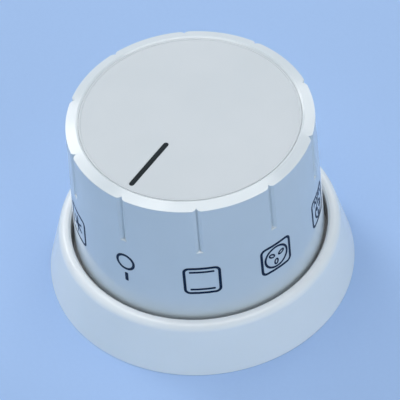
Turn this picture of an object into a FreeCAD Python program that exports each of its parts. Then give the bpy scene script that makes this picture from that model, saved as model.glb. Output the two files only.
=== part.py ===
import FreeCAD, Part
import math
import os

import Sketcher

# Oven control knob in its loose bezel ring.
# The origin is the centre of the ring's bottom face, +Z runs up the turning axis,
# and the pointer and the first finger groove face -Y.

# Driving sizes in millimetres, degrees or plain counts
sizes = {
    # drum of the knob
    "rim_diameter": 40.3,  # across the top edge of the drum
    "skirt_flare": 0.95,  # radius gained from the rim down to the skirt's edge
    "drum_height": 25.6,  # from the skirt's edge to the rim
    "drum_wall": 2.0,
    # bevelled border round the disc
    "bevel_width": 2.05,
    "bevel_rise": 0.7,
    "crest_width": 0.35,  # slope on the inner edge, down to the disc
    "crest_drop": 0.19,
    # finger grooves, a narrow V between shallow shoulders
    "groove_count": 10,
    "groove_width": 1.4,
    "groove_depth": 0.6,
    "groove_core": 0.45,  # across the top of the narrow V
    "groove_shoulder": 0.24,  # depth of the shoulders at the narrow V
    "groove_length": 9.5,  # from the rim down to the ledge where the groove ends
    "groove_fall": 0.25,  # how far the ledge falls from the root of the groove to the wall
    # inlaid disc
    "disc_gap": 0.06,
    "disc_inset": 0.3,
    "disc_thickness": 1.8,
    "peg_diameter": 2.4,
    "peg_spacing": 22.0,
    "peg_gap": 0.05,
    "peg_setback": 0.3,  # how far the pegs stop short of the plate's underside
    "top_plate": 2.0,
    # pointer inlay
    "pointer_width": 0.9,
    "pointer_length": 10.6,
    "pointer_margin": 0.9,  # from the pointer's outer end to the edge of the disc
    "pointer_depth": 0.6,
    "pointer_gap": 0.02,
    # stem insert with the shaft socket
    "stem_diameter": 12.0,
    "stem_standoff": 0.6,
    "shoulder_width": 1.3,
    "shoulder_gap": 0.3,
    "shaft_diameter": 6.0,
    "shaft_flat": 4.6,  # across the flat of the D-shaped shaft
    "shaft_gap": 0.03,
    "lead_gap": 0.25,  # round the shaft in the open end of the socket
    "lead_depth": 6.0,
    "socket_depth": 17.0,
    "slit_width": 1.4,
    "slit_length": 14.0,
    "tenon_diameter": 8.0,  # on top of the insert, in a recess under the plate
    "tenon_height": 1.0,
    "tenon_gap": 0.05,
    # ribs that hold the insert in the drum
    "rib_count": 4,
    "rib_thickness": 1.3,
    "rib_gap": 0.05,
    "rib_setback": 4.0,  # from the skirt's edge up to the ribs
    # spring ring round the insert
    "spring_height": 3.0,  # from the shoulder up to the ring
    "spring_width": 4.0,
    "spring_thickness": 0.6,
    "spring_opening": 50.0,
    "spring_seat": 0.45,  # depth of the groove in the insert
    "spring_gap": 0.02,
    "spring_play": 0.1,
    # bezel ring
    "ring_height": 9.5,
    "ring_flare": 2.43,
    "ring_wall": 1.9,
    "lip_width": 1.87,
    "lip_round": 1.5,
    "lip_chamfer": 0.35,
    "skirt_gap": 0.6,
    "skirt_overlap": 1.4,  # how far the skirt reaches below the lip
    "web_height": 2.0,
    "web_thickness": 1.6,
    "stem_gap": 0.3,
    "collar_wall": 2.0,
    "screw_spacing": 28.0,
    "screw_hole": 4.4,
    "boss_wall": 1.9,
}

# Radii and heights that the pieces share, as expressions of the sheet
rim_radius = "(Sizes.rim_diameter / 2)"
skirt_radius = f"({rim_radius} + Sizes.skirt_flare)"
recess_radius = f"({rim_radius} - Sizes.bevel_width)"
core_radius = f"({rim_radius} - Sizes.drum_wall)"
disc_radius = f"({recess_radius} - Sizes.disc_gap)"
lip_bore_radius = f"({skirt_radius} + Sizes.skirt_gap)"
lip_radius = f"({lip_bore_radius} + Sizes.lip_width)"
base_radius = f"({lip_radius} + Sizes.ring_flare)"
stem_radius = "(Sizes.stem_diameter / 2)"
hub_radius = f"({stem_radius} + Sizes.shoulder_width)"
tenon_radius = "(Sizes.tenon_diameter / 2)"
collar_bore_radius = f"({stem_radius} + Sizes.stem_gap)"
collar_radius = f"({collar_bore_radius} + Sizes.collar_wall)"
shaft_radius = "(Sizes.shaft_diameter / 2)"
socket_radius = f"({shaft_radius} + Sizes.shaft_gap)"
lead_radius = f"({shaft_radius} + Sizes.lead_gap)"
socket_flat = f"(Sizes.shaft_flat - {shaft_radius} + Sizes.shaft_gap)"
spring_seat_radius = f"({hub_radius} - Sizes.spring_seat)"
spring_bore_radius = f"({spring_seat_radius} + Sizes.spring_gap)"
boss_radius = "(Sizes.screw_hole / 2 + Sizes.boss_wall)"

web_top = "(Sizes.web_height + Sizes.web_thickness)"
shoulder_level = f"({web_top} + Sizes.shoulder_gap)"
skirt_level = "(Sizes.ring_height - Sizes.skirt_overlap)"
rim_level = f"({skirt_level} + Sizes.drum_height)"
crest_level = f"({rim_level} + Sizes.bevel_rise)"
groove_foot = f"({rim_level} - Sizes.groove_length)"
ledge_slope = "(Sizes.groove_fall / Sizes.groove_depth)"
disc_top = f"({crest_level} - Sizes.disc_inset)"
disc_seat = f"({disc_top} - Sizes.disc_thickness)"
plate_level = f"({disc_seat} - Sizes.top_plate)"
tenon_top = f"({plate_level} + Sizes.tenon_height)"
rib_level = f"({skirt_level} + Sizes.rib_setback)"
spring_level = f"({shoulder_level} + Sizes.spring_height)"
pointer_tip = f"({disc_radius} - Sizes.pointer_margin)"
pointer_tail = f"({pointer_tip} - Sizes.pointer_length)"

pointer_side = -90.0  # the side that the pointer and the first groove face
rib_side = 45.0  # the first rib, halfway between the screws and the pointer

doc = FreeCAD.newDocument("oven_control_knob")


def fill_sheet():
    """Write each driving size into its own cell with an alias."""
    sheet = doc.addObject("Spreadsheet::Sheet", "Sizes")
    for row, (name, size) in enumerate(sizes.items(), start=1):
        sheet.set(f"A{row}", name)
        sheet.set(f"B{row}", str(size))
        sheet.setAlias(f"B{row}", name)
    doc.recompute()
    return sheet


sheet = fill_sheet()


def value(expression):
    """The number that an expression of the sheet gives."""
    return float(sheet.evalExpression(expression.replace("Sizes.", "")))


def drum_radius(level):
    """Expression for the outer radius of the tapered drum at a height."""
    return f"({rim_radius} + Sizes.skirt_flare * ({rim_level} - {level}) / Sizes.drum_height)"


def ring_radius(level):
    """Expression for the outer radius of the conical bezel ring at a height."""
    return f"({base_radius} - Sizes.ring_flare * {level} / Sizes.ring_height)"


def new_body(label):
    body = doc.addObject("PartDesign::Body", label)
    body.Label = label
    return body


def new_sketch(body, name, plane, level=None, side=0.0, lean=None):
    """Sketch on an origin plane, lifted to a height, turned about +Z or leaning towards -Y."""
    sketch = body.newObject("Sketcher::SketchObject", name)
    support = next(item for item in body.Origin.OriginFeatures if item.Role == plane)
    sketch.AttachmentSupport = [(support, "")]
    sketch.MapMode = "FlatFace"
    turn = FreeCAD.Rotation(FreeCAD.Vector(0, 1, 0), side)
    if lean:
        turn = FreeCAD.Rotation(FreeCAD.Vector(1, 0, 0), value(lean))
    sketch.AttachmentOffset = FreeCAD.Placement(FreeCAD.Vector(), turn)
    if lean:
        sketch.setExpression("AttachmentOffset.Rotation.Angle", lean)
    if level:
        sketch.setExpression("AttachmentOffset.Base.z", level)
    return sketch


def hold(sketch, constraint, expression):
    """Add a dimension and bind it to an expression of the sheet."""
    index = sketch.addConstraint(constraint)
    sketch.setExpression(f"Constraints[{index}]", expression)


def pin(sketch, edge, end, x, y):
    """Hold one point of a sketch at a pair of expressions."""
    for kind, expression, axis in (("DistanceX", x, -2), ("DistanceY", y, -1)):
        if expression == "0":
            sketch.addConstraint(Sketcher.Constraint("PointOnObject", edge, end, axis))
        else:
            distance = Sketcher.Constraint(kind, -1, 1, edge, end, value(expression))
            hold(sketch, distance, expression)


def arc_ends(sketch, arc, start):
    """Which end of a sketched arc lies at the start point, and which is the other."""
    gaps = [sketch.getPoint(arc, end).distanceToPoint(start) for end in (1, 2)]
    return (1, 2) if gaps[0] < gaps[1] else (2, 1)


def round_corner(corner, before, after, radius):
    """Start, middle and end of the arc that rounds a corner between two neighbours."""
    back = (before - corner).normalize()
    onward = (after - corner).normalize()
    inside = (back + onward).normalize()
    sine = inside.cross(onward).Length
    reach = radius * inside.dot(onward) / sine
    middle = corner + inside * (radius / sine - radius)
    return corner + back * reach, middle, corner + onward * reach


def draw_outline(sketch, corners):
    """Closed outline through corners given as expressions, each with an optional radius."""
    points = [FreeCAD.Vector(value(corner[0]), value(corner[1]), 0) for corner in corners]
    arcs = {}
    for index, corner in enumerate(corners):
        if len(corner) == 3:
            neighbours = (points[index - 1], points[(index + 1) % len(points)])
            arcs[index] = round_corner(points[index], *neighbours, value(corner[2]))
    for index, point in enumerate(points):
        following = (index + 1) % len(points)
        start = arcs[index][2] if index in arcs else point
        end = arcs[following][0] if following in arcs else points[following]
        sketch.addGeometry(Part.LineSegment(start, end), False)
    for index, corner in enumerate(corners):
        before = (index - 1) % len(points)
        if index not in arcs:
            sketch.addConstraint(Sketcher.Constraint("Coincident", before, 2, index, 1))
            pin(sketch, index, 1, corner[0], corner[1])
            continue
        arc = sketch.addGeometry(Part.Arc(*arcs[index]), False)
        first, last = arc_ends(sketch, arc, arcs[index][0])
        sketch.addConstraint(Sketcher.Constraint("Tangent", before, 2, arc, first))
        sketch.addConstraint(Sketcher.Constraint("Tangent", arc, last, index, 1))
        hold(sketch, Sketcher.Constraint("Radius", arc, value(corner[2])), corner[2])
        apex = sketch.addGeometry(Part.Point(points[index]), True)
        sketch.addConstraint(Sketcher.Constraint("PointOnObject", apex, 1, before))
        sketch.addConstraint(Sketcher.Constraint("PointOnObject", apex, 1, index))
        pin(sketch, apex, 1, corner[0], corner[1])


def draw_circle(sketch, x, y, radius):
    centre = FreeCAD.Vector(value(x), value(y), 0)
    circle = Part.Circle(centre, FreeCAD.Vector(0, 0, 1), value(radius))
    edge = sketch.addGeometry(circle, False)
    pin(sketch, edge, 3, x, y)
    hold(sketch, Sketcher.Constraint("Radius", edge, value(radius)), radius)


def draw_slot(sketch, inner, outer, width):
    """Round-ended slot along -Y between two distances from the axis."""
    radius = f"({width} / 2)"
    half = value(radius)
    centres = [f"-({inner} + {radius})", f"-({outer} - {radius})"]
    levels = [value(centre) for centre in centres]
    for level, start in zip(levels, (0, math.pi)):
        cap = Part.Circle(FreeCAD.Vector(0, level, 0), FreeCAD.Vector(0, 0, 1), half)
        sketch.addGeometry(Part.ArcOfCircle(cap, start, start + math.pi), False)
    for x, start, end in ((-half, levels[0], levels[1]), (half, levels[1], levels[0])):
        line = Part.LineSegment(FreeCAD.Vector(x, start, 0), FreeCAD.Vector(x, end, 0))
        sketch.addGeometry(line, False)
    joints = ((0, 2), (2, 1), (1, 3), (3, 0))  # each edge runs on into the next
    for first, second in joints:
        sketch.addConstraint(Sketcher.Constraint("Tangent", first, 2, second, 1))
    for cap, centre in enumerate(centres):
        pin(sketch, cap, 3, "0", centre)
    hold(sketch, Sketcher.Constraint("Radius", 0, half), radius)


def revolve(body, name, sketch, kind="PartDesign::Revolution", angle=None):
    feature = body.newObject(kind, name)
    feature.Profile = sketch
    feature.ReferenceAxis = (sketch, ["V_Axis"])
    if angle:
        feature.Midplane = True
        feature.setExpression("Angle", angle)
    doc.recompute()
    return feature


def extrude(
    body, name, sketch, length, kind="PartDesign::Pad", reverse=False, middle=False, along=None
):
    """Pad or pocket of a sketch, square to it or along the line of another sketch."""
    feature = body.newObject(kind, name)
    feature.Profile = sketch
    feature.Reversed = reverse
    feature.Midplane = middle
    feature.setExpression("Length", length)
    if along:
        feature.ReferenceAxis = (along, ["Edge1"])
    doc.recompute()
    return feature


def repeat(body, name, feature, count):
    """Copies of a feature spaced evenly round +Z."""
    pattern = body.newObject("PartDesign::PolarPattern", name)
    pattern.Originals = [feature]
    axis = next(item for item in body.Origin.OriginFeatures if item.Role == "Z_Axis")
    pattern.Axis = (axis, [""])
    pattern.Angle = 360
    pattern.setExpression("Occurrences", count)
    body.Tip = pattern
    doc.recompute()
    return pattern


def make_bezel_ring():
    """Conical ring with a rounded lip, a screw web and a collar for the stem."""
    body = new_body("bezel_ring")
    section = new_sketch(body, "ring_section", "XZ_Plane")
    skirting_radius = f"{ring_radius('Sizes.web_height')} - Sizes.ring_wall"
    draw_outline(section, [
        (base_radius, "0"),
        (lip_radius, "Sizes.ring_height", "Sizes.lip_round"),
        (f"{lip_bore_radius} + Sizes.lip_chamfer", "Sizes.ring_height"),
        (lip_bore_radius, "Sizes.ring_height - Sizes.lip_chamfer"),
        (lip_bore_radius, web_top),
        (collar_bore_radius, web_top),
        (collar_bore_radius, "0"),
        (collar_radius, "0"),
        (collar_radius, "Sizes.web_height"),
        (skirting_radius, "Sizes.web_height"),
        (skirting_radius, "0"),
    ])
    revolve(body, "ring_turned", section)

    bosses = new_sketch(body, "boss_plan", "XY_Plane")
    for screw in ("Sizes.screw_spacing / 2", "-Sizes.screw_spacing / 2"):
        draw_circle(bosses, screw, "0", boss_radius)
    extrude(body, "screw_bosses", bosses, web_top)

    holes = new_sketch(body, "hole_plan", "XY_Plane")
    for screw in ("Sizes.screw_spacing / 2", "-Sizes.screw_spacing / 2"):
        draw_circle(holes, screw, "0", "Sizes.screw_hole / 2")
    extrude(body, "screw_holes", holes, web_top, "PartDesign::Pocket", reverse=True)
    return body


def draw_groove_notch(sketch):
    """Section of a finger groove on its sloping ledge, open towards -Y past the wall."""
    wall = drum_radius(groove_foot)
    stretch = f"sqrt(1 + {ledge_slope} ^ 2)"
    core = "(Sizes.groove_core / 2)"
    mouth = f"(Sizes.groove_width - {core})"
    shoulder_line = f"-({wall} - Sizes.groove_shoulder) * {stretch}"
    mouth_line = f"-({wall} + Sizes.groove_shoulder) * {stretch}"
    draw_outline(sketch, [
        ("0", f"-({wall} - Sizes.groove_depth) * {stretch}"),
        (core, shoulder_line),
        (mouth, mouth_line),
        (f"-{mouth}", mouth_line),
        (f"-{core}", shoulder_line),
    ])


def draw_wall_line(sketch):
    """Straight line up the outside of the drum, from the skirt to the rim."""
    skirt = FreeCAD.Vector(value(skirt_radius), value(skirt_level), 0)
    rim = FreeCAD.Vector(value(rim_radius), value(rim_level), 0)
    line = sketch.addGeometry(Part.LineSegment(skirt, rim), False)
    pin(sketch, line, 1, skirt_radius, skirt_level)
    pin(sketch, line, 2, rim_radius, rim_level)


def make_knob_body():
    """Cup-shaped moulding: grooved drum, bevelled border, plate and ribs."""
    body = new_body("knob_body")
    section = new_sketch(body, "knob_section", "XZ_Plane")
    border_top = f"({crest_level} - Sizes.bevel_rise * Sizes.crest_width / Sizes.bevel_width)"
    draw_outline(section, [
        (skirt_radius, skirt_level),
        (rim_radius, rim_level),
        (f"{recess_radius} + Sizes.crest_width", border_top),
        (recess_radius, f"{border_top} - Sizes.crest_drop"),
        (recess_radius, disc_seat),
        ("0", disc_seat),
        ("0", f"{tenon_top} + Sizes.tenon_gap"),
        (f"{tenon_radius} + Sizes.tenon_gap", f"{tenon_top} + Sizes.tenon_gap"),
        (f"{tenon_radius} + Sizes.tenon_gap", plate_level),
        (core_radius, plate_level),
        (core_radius, skirt_level),
    ])
    revolve(body, "knob_turned", section)

    rib = new_sketch(body, "rib_side", "XZ_Plane", side=rib_side)
    inner_end = f"{hub_radius} + Sizes.rib_gap"
    outer_end = f"{core_radius} + Sizes.drum_wall / 2"
    draw_outline(rib, [
        (inner_end, rib_level),
        (outer_end, rib_level),
        (outer_end, disc_seat),
        (inner_end, disc_seat),
    ])
    first_rib = extrude(body, "first_rib", rib, "Sizes.rib_thickness", middle=True)
    repeat(body, "ribs", first_rib, "Sizes.rib_count")

    pegs = new_sketch(body, "peg_hole_plan", "XY_Plane", level=disc_seat)
    draw_pegs(pegs, "Sizes.peg_diameter / 2 + Sizes.peg_gap")
    extrude(body, "peg_holes", pegs, "Sizes.top_plate", "PartDesign::Pocket")

    wall_line = new_sketch(body, "wall_line", "XZ_Plane", side=pointer_side)
    draw_wall_line(wall_line)
    ledge_axis = f"{groove_foot} + {drum_radius(groove_foot)} * {ledge_slope}"
    notch = new_sketch(body, "groove_notch", "XY_Plane", level=ledge_axis, lean=f"atan({ledge_slope})")
    draw_groove_notch(notch)
    past_crest = "Sizes.groove_length + Sizes.bevel_rise + Sizes.groove_depth"
    first_groove = extrude(
        body, "first_groove", notch, past_crest, "PartDesign::Pocket", reverse=True, along=wall_line
    )
    repeat(body, "finger_grooves", first_groove, "Sizes.groove_count")
    return body


def make_stem_insert():
    """Stem and slitted hub with the D socket, located by a tenon under the plate."""
    body = new_body("stem_insert")
    section = new_sketch(body, "insert_section", "XZ_Plane")
    draw_outline(section, [
        ("0", "Sizes.stem_standoff"),
        (stem_radius, "Sizes.stem_standoff"),
        (stem_radius, shoulder_level),
        (hub_radius, shoulder_level),
        (hub_radius, plate_level),
        (tenon_radius, plate_level),
        (tenon_radius, tenon_top),
        ("0", tenon_top),
    ])
    revolve(body, "insert_turned", section)

    lead = new_sketch(body, "socket_lead_plan", "XY_Plane", level="Sizes.stem_standoff")
    draw_circle(lead, "0", "0", lead_radius)
    extrude(body, "socket_lead", lead, "Sizes.lead_depth", "PartDesign::Pocket", reverse=True)
    keyed = new_sketch(body, "socket_plan", "XY_Plane", level="Sizes.stem_standoff")
    draw_keyed_bore(keyed)
    extrude(body, "socket", keyed, "Sizes.socket_depth", "PartDesign::Pocket", reverse=True)

    slit = new_sketch(body, "slit_plan", "XY_Plane", level="Sizes.stem_standoff")
    half_slit = "Sizes.slit_width / 2"
    reach = f"{hub_radius} + Sizes.slit_width"
    draw_outline(slit, [
        (f"-({reach})", f"-{half_slit}"),
        (reach, f"-{half_slit}"),
        (reach, half_slit),
        (f"-({reach})", half_slit),
    ])
    extrude(body, "stem_slit", slit, "Sizes.slit_length", "PartDesign::Pocket", reverse=True)

    seat = new_sketch(body, "spring_seat_section", "XZ_Plane")
    low = f"({spring_level} - Sizes.spring_play)"
    high = f"({spring_level} + Sizes.spring_width + Sizes.spring_play)"
    past_hub = f"{hub_radius} + Sizes.spring_seat"
    draw_outline(seat, [
        (spring_seat_radius, low),
        (past_hub, low),
        (past_hub, high),
        (spring_seat_radius, high),
    ])
    revolve(body, "spring_seat", seat, "PartDesign::Groove")
    return body


def draw_keyed_bore(sketch):
    """D-shaped bore with its flat on the side away from the pointer."""
    radius = value(socket_radius)
    flat = value(socket_flat)
    half_flat = math.sqrt(radius**2 - flat**2)
    left = FreeCAD.Vector(-half_flat, flat, 0)
    right = FreeCAD.Vector(half_flat, flat, 0)
    bore = sketch.addGeometry(Part.Arc(left, FreeCAD.Vector(0, -radius, 0), right), False)
    chord = sketch.addGeometry(Part.LineSegment(right, left), False)
    sketch.addConstraint(Sketcher.Constraint("Coincident", bore, 2, chord, 1))
    sketch.addConstraint(Sketcher.Constraint("Coincident", chord, 2, bore, 1))
    sketch.addConstraint(Sketcher.Constraint("Coincident", bore, 3, -1, 1))
    sketch.addConstraint(Sketcher.Constraint("Horizontal", chord))
    hold(sketch, Sketcher.Constraint("Radius", bore, radius), socket_radius)
    hold(sketch, Sketcher.Constraint("DistanceY", -1, 1, chord, 1, flat), socket_flat)


def draw_pegs(sketch, radius):
    """Two circles on the X axis where the disc's pegs sit."""
    for peg in ("Sizes.peg_spacing / 2", "-Sizes.peg_spacing / 2"):
        draw_circle(sketch, peg, "0", radius)


def make_cap_disc():
    """Inlaid top disc with two locating pegs and a slot for the pointer."""
    body = new_body("cap_disc")
    section = new_sketch(body, "disc_section", "XZ_Plane")
    draw_outline(section, [
        ("0", disc_seat),
        (disc_radius, disc_seat),
        (disc_radius, disc_top),
        ("0", disc_top),
    ])
    revolve(body, "disc_turned", section)

    pegs = new_sketch(body, "peg_plan", "XY_Plane", level=disc_seat)
    draw_pegs(pegs, "Sizes.peg_diameter / 2")
    extrude(body, "pegs", pegs, "Sizes.top_plate - Sizes.peg_setback", reverse=True)

    slot = new_sketch(body, "pointer_slot_plan", "XY_Plane", level=disc_top)
    draw_slot(slot, pointer_tail, pointer_tip, "Sizes.pointer_width")
    extrude(body, "pointer_slot", slot, "Sizes.pointer_depth", "PartDesign::Pocket")
    return body


def make_pointer_line():
    """Dark inlay that fills the slot of the disc."""
    body = new_body("pointer_line")
    plan = new_sketch(body, "pointer_plan", "XY_Plane", level=disc_top)
    draw_slot(
        plan,
        f"({pointer_tail} + Sizes.pointer_gap)",
        f"({pointer_tip} - Sizes.pointer_gap)",
        "(Sizes.pointer_width - 2 * Sizes.pointer_gap)",
    )
    extrude(body, "pointer_fill", plan, "Sizes.pointer_depth", reverse=True)
    return body


def make_shaft_spring():
    """Open steel ring that closes the slitted insert on the shaft."""
    body = new_body("shaft_spring")
    section = new_sketch(body, "spring_section", "XZ_Plane")
    outer = f"({spring_bore_radius} + Sizes.spring_thickness)"
    top = f"({spring_level} + Sizes.spring_width)"
    draw_outline(section, [
        (spring_bore_radius, spring_level),
        (outer, spring_level),
        (outer, top),
        (spring_bore_radius, top),
    ])
    revolve(body, "spring_bent", section, angle="360 - Sizes.spring_opening")
    return body


def check_model(bodies):
    """Stop before anything is written if a feature failed or a solid is broken."""
    for item in doc.Objects:
        if "Invalid" in item.State or "Error" in item.State:
            raise RuntimeError(f"{item.Name} failed to build")
    for body in bodies:
        shape = body.Shape
        if shape.isNull() or not shape.isValid() or len(shape.Solids) != 1:
            raise RuntimeError(f"{body.Label} is not one valid solid")


bodies = [
    make_bezel_ring(),
    make_knob_body(),
    make_stem_insert(),
    make_cap_disc(),
    make_pointer_line(),
    make_shaft_spring(),
]
doc.recompute()
check_model(bodies)
os.makedirs("parts", exist_ok=True)
for body in bodies:
    body.Shape.exportStep(f"parts/{body.Label}.step")
    print(body.Label, round(body.Shape.Volume, 2), "mm3")
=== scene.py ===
import bpy
import math
from mathutils import Matrix, Vector


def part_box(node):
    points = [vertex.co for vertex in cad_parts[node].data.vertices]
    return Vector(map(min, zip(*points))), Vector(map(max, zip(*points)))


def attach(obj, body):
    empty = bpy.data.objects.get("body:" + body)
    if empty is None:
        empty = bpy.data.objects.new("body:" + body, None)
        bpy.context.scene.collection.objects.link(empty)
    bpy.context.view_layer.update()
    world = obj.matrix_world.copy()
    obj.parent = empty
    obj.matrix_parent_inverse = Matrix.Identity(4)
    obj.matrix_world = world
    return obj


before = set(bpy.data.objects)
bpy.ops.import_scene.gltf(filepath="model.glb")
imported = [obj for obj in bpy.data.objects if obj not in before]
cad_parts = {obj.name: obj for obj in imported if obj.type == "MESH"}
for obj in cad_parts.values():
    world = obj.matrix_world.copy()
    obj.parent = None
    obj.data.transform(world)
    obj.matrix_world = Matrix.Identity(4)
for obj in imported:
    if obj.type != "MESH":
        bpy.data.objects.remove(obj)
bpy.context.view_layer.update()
mm = 0.001
print("frame loaded:", ", ".join(sorted(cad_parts)))


def hexToLinear(text):  # sRGB hex to the linear colour that the nodes want
    channels = [int(text[i:i + 2], 16) / 255 for i in (1, 3, 5)]
    return tuple(c / 12.92 if c <= 0.04045 else ((c + 0.055) / 1.055) ** 2.4 for c in channels) + (1.0,)


def addNode(tree, kind, settings={}, links={}):  # one node with its settings and what feeds it
    node = tree.nodes.new(kind)
    for name, setting in settings.items():
        if isinstance(name, int) or name in node.inputs:
            node.inputs[name].default_value = setting
        else:
            setattr(node, name, setting)
    for name, source in links.items():
        tree.links.new(source, node.inputs[name])
    return node


def startMaterial(name):
    material = bpy.data.materials.new(name)
    material.use_nodes = True
    material.node_tree.nodes.clear()
    return material, material.node_tree


# injection-moulded ABS from a polished tool: glossy, with a faint orange peel and soft edges
def polishedAbs(name, look):
    material, tree = startMaterial(name)
    place = addNode(tree, "ShaderNodeTexCoord").outputs["Object"]
    flow = addNode(
        tree, "ShaderNodeTexNoise",
        {"Scale": 1 / look["flowSize"], "Detail": 3.0},
        {"Vector": place},
    )
    tint = addNode(tree, "ShaderNodeValToRGB", {}, {"Fac": flow.outputs["Fac"]})
    for stop, position, colour in zip(tint.color_ramp.elements, look["flowSpread"], ("shade", "colour")):
        stop.position = position
        stop.color = hexToLinear(look[colour])
    handling = addNode(
        tree, "ShaderNodeTexNoise",
        {"Scale": 1 / look["smearSize"], "Detail": 2.0},
        {"Vector": place},
    )
    gloss = addNode(
        tree, "ShaderNodeMapRange",
        {"To Min": look["roughness"][0], "To Max": look["roughness"][1]},
        {"Value": handling.outputs["Fac"]},
    )
    peel = addNode(
        tree, "ShaderNodeTexNoise",
        {"Scale": 1 / look["peelSize"], "Detail": 2.0},
        {"Vector": place},
    )
    softEdge = addNode(tree, "ShaderNodeBevel", {"samples": 6, "Radius": look["edgeRadius"]})
    bump = addNode(
        tree, "ShaderNodeBump",
        {"Strength": look["peelStrength"], "Distance": look["peelDepth"]},
        {"Height": peel.outputs["Fac"], "Normal": softEdge.outputs["Normal"]},
    )
    shader = addNode(
        tree, "ShaderNodeBsdfPrincipled",
        {
            "IOR": look["ior"], "Subsurface Weight": look["scatter"],
            "Subsurface Radius": look["scatterTint"], "Subsurface Scale": look["scatterReach"],
        },
        {
            "Base Color": tint.outputs["Color"], "Roughness": gloss.outputs["Result"],
            "Normal": bump.outputs["Normal"],
        },
    )
    addNode(tree, "ShaderNodeOutputMaterial", {}, {"Surface": shader.outputs["BSDF"]})
    return material


drumLook = {
    "colour": "#DDE2E6", "shade": "#D8DEE2", "flowSpread": (0.3, 0.7),  # cool white, greyer along the flow; darker than the ring's white as painted shade on the drum wall
    "flowSize": 14 * mm, "smearSize": 9 * mm, "peelSize": 1.1 * mm,  # waviness of polished ABS
    "peelStrength": 0.25, "peelDepth": 0.012 * mm,
    "roughness": (0.1, 0.16), "ior": 1.54, "edgeRadius": 0.06 * mm,
    "scatter": 0.08, "scatterTint": (1.0, 0.9, 0.8), "scatterReach": 0.6 * mm,  # light just under the skin
}
discLook = dict(drumLook, colour="#D7DBDF", shade="#D2D7DB", roughness=(0.24, 0.28), edgeRadius=0.15 * mm)
# lighter than the drum's white: painted light on the ring
ringLook = dict(drumLook, colour="#F5F7F9", shade="#F0F3F5", flowSize=18 * mm, roughness=(0.2, 0.28))
stemLook = dict(drumLook, colour="#E3E1DA", shade="#DAD8D0", roughness=(0.4, 0.5))  # PBT: duller, warmer
mouldedDrum = polishedAbs("abs_moulded_drum", drumLook)
mouldedDisc = polishedAbs("abs_moulded_disc", discLook)
mouldedRing = polishedAbs("abs_moulded_ring", ringLook)
mouldedStem = polishedAbs("pbt_moulded_stem", stemLook)


# two-part ink, pad-printed or filled in: a thin dark film, satin, with a slightly uneven lay
def printedInk(name, look):
    material, tree = startMaterial(name)
    place = addNode(tree, "ShaderNodeTexCoord").outputs["Object"]
    lay = addNode(
        tree, "ShaderNodeTexNoise",
        {"Scale": 1 / look["laySize"], "Detail": 4.0},
        {"Vector": place},
    )
    tint = addNode(tree, "ShaderNodeValToRGB", {}, {"Fac": lay.outputs["Fac"]})
    for stop, position, colour in zip(tint.color_ramp.elements, look["laySpread"], ("colour", "thin")):
        stop.position = position
        stop.color = hexToLinear(look[colour])
    bump = addNode(
        tree, "ShaderNodeBump",
        {"Strength": look["layStrength"], "Distance": look["layDepth"]},
        {"Height": lay.outputs["Fac"]},
    )
    shader = addNode(
        tree, "ShaderNodeBsdfPrincipled",
        {"IOR": look["ior"], "Specular IOR Level": look["shine"], "Roughness": look["roughness"]},
        {"Base Color": tint.outputs["Color"], "Normal": bump.outputs["Normal"]},
    )
    addNode(tree, "ShaderNodeOutputMaterial", {}, {"Surface": shader.outputs["BSDF"]})
    return material


symbolLook = {
    "colour": "#001A36", "thin": "#06223F", "laySpread": (0.35, 0.75),  # blue-black, paler where it is thin
    "laySize": 0.3 * mm, "layStrength": 0.2, "layDepth": 0.01 * mm,
    "ior": 1.5, "shine": 0.2, "roughness": 0.45,
}
pointerLook = dict(symbolLook, colour="#0F1619", thin="#171F22", laySize=0.8 * mm, roughness=0.38)
padInk = printedInk("pad_ink_symbols", symbolLook)
pointerInk = printedInk("filled_pointer_enamel", pointerLook)


# rolled spring strip: bright steel with drawn lines round the bend
def rolledSteel(name, look):
    material, tree = startMaterial(name)
    place = addNode(tree, "ShaderNodeTexCoord").outputs["Object"]
    drawn = addNode(tree, "ShaderNodeMapping", {"Scale": look["squeeze"]}, {"Vector": place})
    lines = addNode(
        tree, "ShaderNodeTexNoise",
        {"Scale": 1 / look["lineSize"], "Detail": 3.0},
        {"Vector": drawn.outputs["Vector"]},
    )
    gloss = addNode(
        tree, "ShaderNodeMapRange",
        {"To Min": look["roughness"][0], "To Max": look["roughness"][1]},
        {"Value": lines.outputs["Fac"]},
    )
    shader = addNode(
        tree, "ShaderNodeBsdfPrincipled",
        {"Base Color": hexToLinear(look["colour"]), "Metallic": 1.0},
        {"Roughness": gloss.outputs["Result"]},
    )
    addNode(tree, "ShaderNodeOutputMaterial", {}, {"Surface": shader.outputs["BSDF"]})
    return material


springLook = {
    "colour": "#B9BBBD", "roughness": (0.22, 0.42),
    "lineSize": 1.2 * mm, "squeeze": (1.0, 1.0, 12.0),  # lines 0.1 mm high, coarser than real ones to show
}
springSteel = rolledSteel("spring_steel_rolled", springLook)

dressed = {
    "bezel_ring": mouldedRing, "knob_body": mouldedDrum, "cap_disc": mouldedDisc,
    "pointer_line": pointerInk, "stem_insert": mouldedStem, "shaft_spring": springSteel,
}
for nodeName, material in dressed.items():
    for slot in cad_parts[nodeName].material_slots:
        slot.material = material
print("materials on", len(dressed), "CAD pieces")

# tools for drawing the symbols flat, in millimetres, before they are pressed on the drum
strokeSteps = {"frameCorner": 6, "frameSideCuts": 9, "oval": 40, "barLong": 10, "barWide": 2, "barCorner": 3}


def objectMode():
    if bpy.context.object and bpy.context.object.mode != "OBJECT":
        bpy.ops.object.mode_set(mode="OBJECT")
    bpy.ops.object.select_all(action="DESELECT")


def pick(kind, test):  # select parts of the active mesh by their place or size
    bpy.ops.object.mode_set(mode="EDIT")
    bpy.ops.mesh.select_mode(type=kind)
    bpy.ops.mesh.select_all(action="DESELECT")
    bpy.ops.object.mode_set(mode="OBJECT")
    mesh = bpy.context.object.data
    for item in {"VERT": mesh.vertices, "EDGE": mesh.edges}[kind]:
        item.select = test(item)
    bpy.ops.object.mode_set(mode="EDIT")


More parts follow.
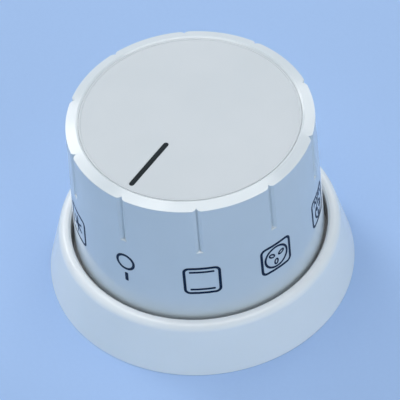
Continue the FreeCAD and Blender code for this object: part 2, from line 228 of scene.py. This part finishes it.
def edgeEnds(edge):
    return [bpy.context.object.data.vertices[i].co for i in edge.vertices]


def edgeLength(edge):
    start, end = edgeEnds(edge)
    return (start - end).length


def outlineOnly(line):  # keep a border of the flat face and drop what it encloses
    bpy.ops.mesh.select_mode(type="FACE")
    bpy.ops.mesh.select_all(action="SELECT")
    bpy.ops.mesh.inset(thickness=line, use_even_offset=True)
    bpy.ops.mesh.delete(type="FACE")
    bpy.ops.object.mode_set(mode="OBJECT")


def placeFlat(x, y, turn=0.0):  # move the finished stroke to its place in the symbol
    stroke = bpy.context.object
    spin = Matrix.Rotation(math.radians(turn), 4, "Z")
    stroke.matrix_world = Matrix.Translation((x * mm, y * mm, 0)) @ spin
    bpy.ops.object.transform_apply(location=True, rotation=True, scale=True)
    return stroke


def drawFrame(x, y, width, height, corner, line):  # outline of a rounded square
    objectMode()
    bpy.ops.mesh.primitive_plane_add(size=1)
    bpy.ops.transform.resize(value=(width * mm, height * mm, 1))
    bpy.ops.object.transform_apply(scale=True)
    pick("VERT", lambda vertex: True)
    bpy.ops.mesh.bevel(offset=corner * mm, segments=strokeSteps["frameCorner"], affect="VERTICES")
    pick("EDGE", lambda edge: edgeLength(edge) > corner * mm)  # the four sides, to be bent later
    bpy.ops.mesh.subdivide(number_cuts=strokeSteps["frameSideCuts"])
    outlineOnly(line * mm)
    return placeFlat(x, y)


def drawOval(x, y, long, short, turn, line):
    objectMode()
    bpy.ops.mesh.primitive_circle_add(vertices=strokeSteps["oval"], radius=0.5, fill_type="NGON")
    bpy.ops.transform.resize(value=(long * mm, short * mm, 1))
    bpy.ops.object.transform_apply(scale=True)
    bpy.ops.object.mode_set(mode="EDIT")
    outlineOnly(line * mm)
    return placeFlat(x, y, turn)


def drawBar(x, y, length, width, turn=0.0):  # filled bar with rounded corners
    objectMode()
    bpy.ops.mesh.primitive_grid_add(
        x_subdivisions=strokeSteps["barLong"], y_subdivisions=strokeSteps["barWide"], size=1
    )
    bpy.ops.transform.resize(value=(length * mm, width * mm, 1))
    bpy.ops.object.transform_apply(scale=True)
    nearEnd, nearSide = 0.49 * length * mm, 0.49 * width * mm
    pick("VERT", lambda vertex: abs(vertex.co.x) > nearEnd and abs(vertex.co.y) > nearSide)
    rounding = 0.3 * min(width, 0.3 * length) * mm
    bpy.ops.mesh.bevel(offset=rounding, segments=strokeSteps["barCorner"], affect="VERTICES")
    bpy.ops.object.mode_set(mode="OBJECT")
    return placeFlat(x, y, turn)


def drawZigzag(x, y, span, rise, peaks, line):  # heating element: a band extruded up and down
    objectMode()
    bpy.ops.mesh.primitive_plane_add(size=1)
    step = span / (2 * peaks)
    uprightWidth = 1.5 * line  # of a slanting line, measured straight up
    bpy.ops.transform.resize(value=(step * mm, uprightWidth * mm, 1))
    bpy.ops.object.transform_apply(scale=True)
    pick("VERT", lambda vertex: vertex.co.x > 0)
    bpy.ops.transform.translate(value=(0, rise * mm, 0))
    pick("EDGE", lambda edge: all(end.x > 0 for end in edgeEnds(edge)))
    for leg in range(1, 2 * peaks):
        lift = -rise if leg % 2 else rise
        bpy.ops.mesh.extrude_region_move(TRANSFORM_OT_translate={"value": (step * mm, lift * mm, 0)})
    bpy.ops.object.mode_set(mode="OBJECT")
    return placeFlat(x - span / 2 + step / 2, y - rise / 2)


def copyOf(stroke):  # each copy has a mesh of its own
    twin = stroke.copy()
    twin.data = stroke.data.copy()
    bpy.context.scene.collection.objects.link(twin)
    return twin


def joinStrokes(strokes, name):
    objectMode()
    for stroke in strokes:
        stroke.select_set(True)
    bpy.context.view_layer.objects.active = strokes[0]
    if len(strokes) > 1:
        bpy.ops.object.join()
    bpy.context.object.name = name
    return bpy.context.object


printPlan = {
    "line": 0.47, "thinLine": 0.4, "film": 0.03 * mm,
    "frame": (6.2, 6.15, 1.05),  # width, height and corner
    "heatLevel": 2.0, "heatLength": 4.1,  # bars above and below the middle
    "grill": (1.7, 4.0, 0.9, 4), "grillOverFan": (1.85, 4.0, 0.75, 4),  # level, span, rise and peaks
    "fanWheel": 4.85, "blade": (1.4, 0.95), "bladeLine": 0.31, "bladeTurns": (25, 145, 265),
    "bladeReach": 0.225, "smallFan": 0.72,  # shares of the wheel and of the full fan
    "middle": 17.75 * mm,  # height of the middle of each symbol on the drum
    "standOff": 1 * mm, "smoothAngle": 40,
    "firstSide": -90, "step": 36,  # one symbol under each finger groove
}


def fanStrokes(scale, x, y):  # three blades inside a wheel
    wheel = printPlan["fanWheel"] * scale
    reach = printPlan["bladeReach"] * wheel
    long, short = [size * scale for size in printPlan["blade"]]
    strokes = [drawOval(x, y, wheel, wheel, 0, printPlan["thinLine"])]
    for turn in printPlan["bladeTurns"]:
        bladeX = x + reach * math.cos(math.radians(turn))
        bladeY = y + reach * math.sin(math.radians(turn))
        strokes.append(drawOval(bladeX, bladeY, long, short, turn, printPlan["bladeLine"]))
    return strokes


def heatBar(side):  # 1 for the top heat, -1 for the base heat
    return drawBar(0, side * printPlan["heatLevel"], printPlan["heatLength"], printPlan["thinLine"])


def grillLine(kind):
    return drawZigzag(0, *printPlan[kind], printPlan["thinLine"])


line, thin, small = [printPlan[key] for key in ("line", "thinLine", "smallFan")]
frameOnce = drawFrame(0, 0, *printPlan["frame"], line)
symbolStrokes = {
    "lamp": [drawOval(0, 1.45, 3.6, 3.6, 0, line), drawBar(0.05, -2.0, 1.9, 0.62, 90)],
    "both_heats": [copyOf(frameOnce), heatBar(1), heatBar(-1)],
    "fan": [copyOf(frameOnce)] + fanStrokes(1.0, 0, 0),
    "fan_grill": [copyOf(frameOnce), grillLine("grillOverFan")] + fanStrokes(small, 0, -0.75),
    "grill": [copyOf(frameOnce), grillLine("grill")],
    "grill_base_heat": [copyOf(frameOnce), grillLine("grill"), heatBar(-1)],
    "base_heat": [copyOf(frameOnce), heatBar(-1)],
    "fan_base_heat": [copyOf(frameOnce), heatBar(-1)] + fanStrokes(small, 0, 0.65),
    "top_heat": [copyOf(frameOnce), heatBar(1)],
    "thaw": [copyOf(frameOnce)] + [drawBar(0, 0, 3.6, thin, turn) for turn in (90, 30, 150)],
}
print("symbols drawn flat:", len(symbolStrokes))

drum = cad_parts["knob_body"]
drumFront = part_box("knob_body")[0].y


def pressOnDrum(strokes, name, side):  # stand the symbol up, wrap it on the wall and turn it to its groove
    piece = joinStrokes(strokes, "symbol_" + name)
    before = Matrix.Translation((0, drumFront - printPlan["standOff"], printPlan["middle"]))
    piece.matrix_world = before @ Matrix.Rotation(math.pi / 2, 4, "X")
    bpy.ops.object.transform_apply(location=True, rotation=True, scale=True)
    wrap = piece.modifiers.new("wrap", "SHRINKWRAP")
    wrap.target = drum
    wrap.wrap_method = "PROJECT"
    wrap.use_project_x, wrap.use_project_y, wrap.use_project_z = False, True, False
    wrap.use_positive_direction, wrap.use_negative_direction = True, False
    bpy.ops.object.modifier_apply(modifier=wrap.name)
    film = piece.modifiers.new("film", "SOLIDIFY")
    film.thickness = printPlan["film"]
    film.offset = 1.0
    bpy.ops.object.modifier_apply(modifier=film.name)
    piece.matrix_world = Matrix.Rotation(math.radians(side + 90), 4, "Z")
    bpy.ops.object.transform_apply(location=True, rotation=True, scale=True)
    bpy.ops.object.shade_smooth_by_angle(angle=math.radians(printPlan["smoothAngle"]))
    piece.data.materials.clear()
    piece.data.materials.append(padInk)
    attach(piece, "knob")


for index, (name, strokes) in enumerate(symbolStrokes.items()):
    pressOnDrum(strokes, name, printPlan["firstSide"] + printPlan["step"] * index)
bpy.data.objects.remove(frameOnce)
print("symbols printed on the drum")

# rounded edge of the disc: a flat bead along the seam, which catches the light
edgeBead = {"width": 0.4 * mm, "height": 0.13 * mm, "overhang": 0.03 * mm, "around": 160, "across": 16}
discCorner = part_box("cap_disc")[1]
objectMode()
bpy.ops.mesh.primitive_torus_add(
    major_segments=edgeBead["around"], minor_segments=edgeBead["across"],
    major_radius=discCorner.x + edgeBead["overhang"] - edgeBead["width"] / 2,
    minor_radius=edgeBead["width"] / 2,
)
bpy.ops.object.mode_set(mode="EDIT")
bpy.ops.mesh.select_all(action="SELECT")
bpy.ops.transform.resize(value=(1, 1, edgeBead["height"] / edgeBead["width"]))
bpy.ops.transform.translate(value=(0, 0, discCorner.z))
bpy.ops.object.mode_set(mode="OBJECT")
bpy.ops.object.shade_smooth()
bead = bpy.context.object
bead.name = "disc_edge"
bead.data.materials.append(mouldedDisc)
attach(bead, "knob")
print("edge of the disc rounded")

# uncoated paper floor under the part: pale and matt, with a faint fibre grain
floorLook = {
    "colour": "#A9C6F0", "grain": "#A5C2ED", "roughness": 0.9, "ior": 1.4,
    "size": 4.0, "fibre": 0.6 * mm, "drop": 0.05 * mm,
}
objectMode()
bpy.ops.mesh.primitive_plane_add(size=floorLook["size"], location=(0, 0, -floorLook["drop"]))
bpy.ops.object.transform_apply(location=True)
floor = bpy.context.object
floor.name = "floor"
paper, paperTree = startMaterial("paper_floor")
paperPlace = addNode(paperTree, "ShaderNodeTexCoord").outputs["Object"]
paperGrain = addNode(
    paperTree, "ShaderNodeTexNoise",
    {"Scale": 1 / floorLook["fibre"], "Detail": 3.0},
    {"Vector": paperPlace},
)
paperTint = addNode(paperTree, "ShaderNodeValToRGB", {}, {"Fac": paperGrain.outputs["Fac"]})
for stop, colour in zip(paperTint.color_ramp.elements, ("grain", "colour")):
    stop.color = hexToLinear(floorLook[colour])
paperShader = addNode(
    paperTree, "ShaderNodeBsdfPrincipled",
    {"Roughness": floorLook["roughness"], "IOR": floorLook["ior"]},
    {"Base Color": paperTint.outputs["Color"]},
)
addNode(paperTree, "ShaderNodeOutputMaterial", {}, {"Surface": paperShader.outputs["BSDF"]})
floor.data.materials.append(paper)

# soft studio light: a cool room that darkens upwards, a pale backdrop and large softboxes
worldLook = {
    "horizon": "#B8DDEF", "zenith": "#20262E", "fade": (0.0, 0.7), "strength": 1.0,
    "seen": "#DCE7F4", "seenStrength": 1.0,
}
world = bpy.data.worlds.new("studio")
bpy.context.scene.world = world
world.use_nodes = True
skyTree = world.node_tree
skyTree.nodes.clear()
skyPlace = addNode(skyTree, "ShaderNodeTexCoord").outputs["Generated"]
skyParts = addNode(skyTree, "ShaderNodeSeparateXYZ", {}, {"Vector": skyPlace})
skyTint = addNode(skyTree, "ShaderNodeValToRGB", {}, {"Fac": skyParts.outputs["Z"]})
for stop, position, colour in zip(skyTint.color_ramp.elements, worldLook["fade"], ("horizon", "zenith")):
    stop.position = position
    stop.color = hexToLinear(worldLook[colour])
skyLight = addNode(
    skyTree, "ShaderNodeBackground",
    {"Strength": worldLook["strength"]},
    {"Color": skyTint.outputs["Color"]},
)
skySeen = addNode(
    skyTree, "ShaderNodeBackground",
    {"Color": hexToLinear(worldLook["seen"]), "Strength": worldLook["seenStrength"]},
)
skyPath = addNode(skyTree, "ShaderNodeLightPath")
skyDirect = addNode(
    skyTree, "ShaderNodeMath", {"operation": "MAXIMUM"},
    {0: skyPath.outputs["Is Camera Ray"], 1: skyPath.outputs["Is Glossy Ray"]},
)
skyAny = addNode(
    skyTree, "ShaderNodeMath", {"operation": "MAXIMUM"},
    {0: skyDirect.outputs["Value"], 1: skyPath.outputs["Is Transmission Ray"]},
)
skyMix = addNode(
    skyTree, "ShaderNodeMixShader", {},
    {0: skyAny.outputs["Value"], 1: skyLight.outputs["Background"], 2: skySeen.outputs["Background"]},
)
addNode(skyTree, "ShaderNodeOutputWorld", {}, {"Surface": skyMix.outputs["Shader"]})

lamps = {
    "strip": {"place": (-0.42, 0.079, 0.635), "size": (0.18, 0.7), "watts": 1.15},
    "overhead": {"place": (0.012, -0.016, 0.8), "size": (0.74, 0.44), "watts": 3.4},
    "left": {"place": (-0.575, 0.196, 0.439), "size": (0.25, 0.25), "watts": 0.65},
    "right": {"place": (-0.027, 0.607, 0.439), "size": (0.25, 0.25), "watts": 0.45},
    "side": {"place": (0.68, -0.1, 0.25), "size": (0.9, 0.42), "watts": 1.05},
    "front": {"place": (-0.3, -0.6, 0.25), "size": (0.9, 0.42), "watts": 0.52},
}
aim = Vector((0, 0, 0.02))
for name, lamp in lamps.items():
    light = bpy.data.lights.new("softbox_" + name, "AREA")
    light.shape = "RECTANGLE"
    light.size, light.size_y = lamp["size"]
    light.energy = lamp["watts"]
    box = bpy.data.objects.new("softbox_" + name, light)
    box.location = lamp["place"]
    box.rotation_euler = (aim - box.location).to_track_quat("-Z", "Y").to_euler()
    bpy.context.scene.collection.objects.link(box)
print("floor and", len(lamps), "softboxes placed")

# camera at the photograph's angle, worked out from where the ring's centre falls in the picture
view = {
    "azimuth": 36.84, "elevation": 47.98, "roll": -5.08, "distance": 0.4275,
    "lens": 225.0, "sensor": 36.0, "nearest": 0.01,
    "centre": (202.25, 254.94), "pixels": 400,
}
az, el, roll = [math.radians(view[key]) for key in ("azimuth", "elevation", "roll")]
away = Vector((-math.sin(az), math.cos(az), 0))
level = Vector((math.cos(az), math.sin(az), 0))
up = Vector((0, 0, 1))
steep = -math.sin(el) * away - math.cos(el) * up
ahead = math.cos(el) * away - math.sin(el) * up
right = math.cos(roll) * level - math.sin(roll) * steep
down = math.sin(roll) * level + math.cos(roll) * steep
focal = view["lens"] / view["sensor"] * view["pixels"]
offset = [(pixel - view["pixels"] / 2) / focal * view["distance"] for pixel in view["centre"]]
eye = -(offset[0] * right + offset[1] * down + view["distance"] * ahead)
cameraData = bpy.data.cameras.new("camera")
cameraData.lens = view["lens"]
cameraData.clip_start = view["nearest"]
camera = bpy.data.objects.new("camera", cameraData)
camera.matrix_world = Matrix((right, -down, -ahead)).transposed().to_4x4()
camera.location = eye
bpy.context.scene.collection.objects.link(camera)
bpy.context.scene.camera = camera
bpy.context.scene.view_settings.view_transform = "Standard"
print("camera at", [round(c, 4) for c in eye])
